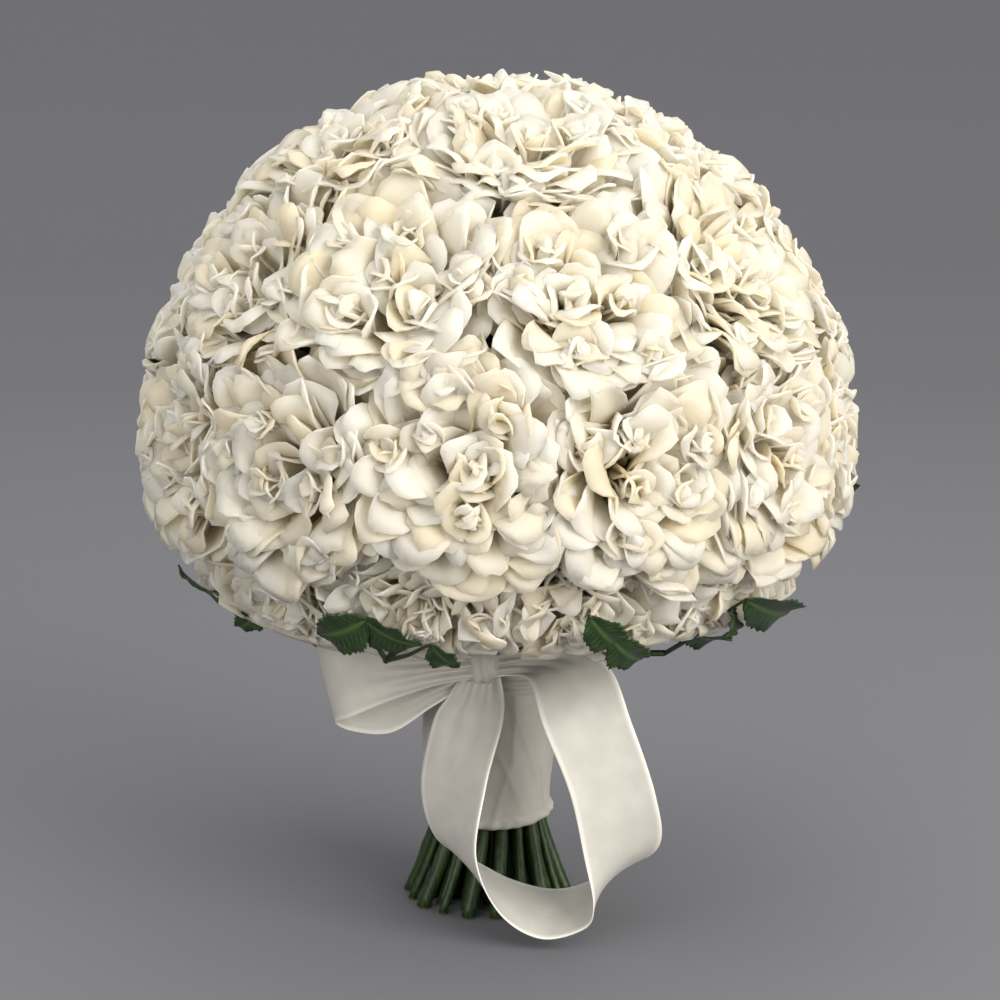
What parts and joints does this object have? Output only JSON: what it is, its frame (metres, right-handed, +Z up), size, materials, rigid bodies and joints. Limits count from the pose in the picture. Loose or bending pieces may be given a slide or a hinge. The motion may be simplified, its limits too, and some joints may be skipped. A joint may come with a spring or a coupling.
{
  "type": "bunch of carnations",
  "caption": "Round hand-tied bunch of full white carnations with serrated green leaves, its stems wrapped in satin ribbon with a bow, standing on the cut ends.",
  "frame": {"origin": "on the floor the cut stems stand on, under the middle of the whole bunch", "axes": "+Z up along the handle; -Y towards the face with the bow; +X to the right of that face"},
  "size_m": [0.327, 0.3216, 0.378],
  "materials": {
    "petals": "matte",
    "stems": "satin",
    "leaves": "satin",
    "satin_ribbon": "satin"
  },
  "bodies": {
    "root": {"bloom_01": "petals", "bloom_02": "petals", "bloom_03": "petals", "bloom_04": "petals", "bloom_05": "petals", "bloom_06": "petals", "bloom_07": "petals", "bloom_08": "petals", "bloom_09": "petals", "bloom_10": "petals", "bloom_11": "petals", "bloom_12": "petals", "bloom_13": "petals", "bloom_14": "petals", "bloom_15": "petals", "bloom_16": "petals", "bloom_17": "petals", "bloom_18": "petals", "bloom_19": "petals", "bloom_20": "petals", "bloom_21": "petals", "bloom_22": "petals", "bloom_23": "petals", "bloom_24": "petals", "bloom_25": "petals", "bloom_26": "petals", "bloom_27": "petals", "bloom_28": "petals", "bloom_29": "petals", "bloom_30": "petals", "bloom_31": "petals", "bloom_32": "petals", "bloom_33": "petals", "bloom_34": "petals", "bloom_35": "petals", "bloom_36": "petals", "bloom_37": "petals", "bloom_38": "petals", "bloom_39": "petals", "bloom_40": "petals", "bloom_41": "petals", "bloom_42": "petals", "leaf_sprig_1": "leaves", "leaf_sprig_2": "leaves", "leaf_sprig_3": "leaves", "leaf_sprig_4": "leaves", "leaf_sprig_5": "leaves", "leaf_sprig_6": "leaves", "leaf_sprig_7": "leaves", "stem_group_1": "stems", "stem_group_2": "stems", "stem_group_3": "stems", "stem_group_4": "stems", "stem_group_5": "stems", "stem_group_6": "stems", "handle_wrap": "satin_ribbon", "neck_band": "satin_ribbon", "bow_knot": "satin_ribbon", "bow_loop_long": "satin_ribbon", "bow_loop_short": "satin_ribbon"}
  },
  "joints": []
}
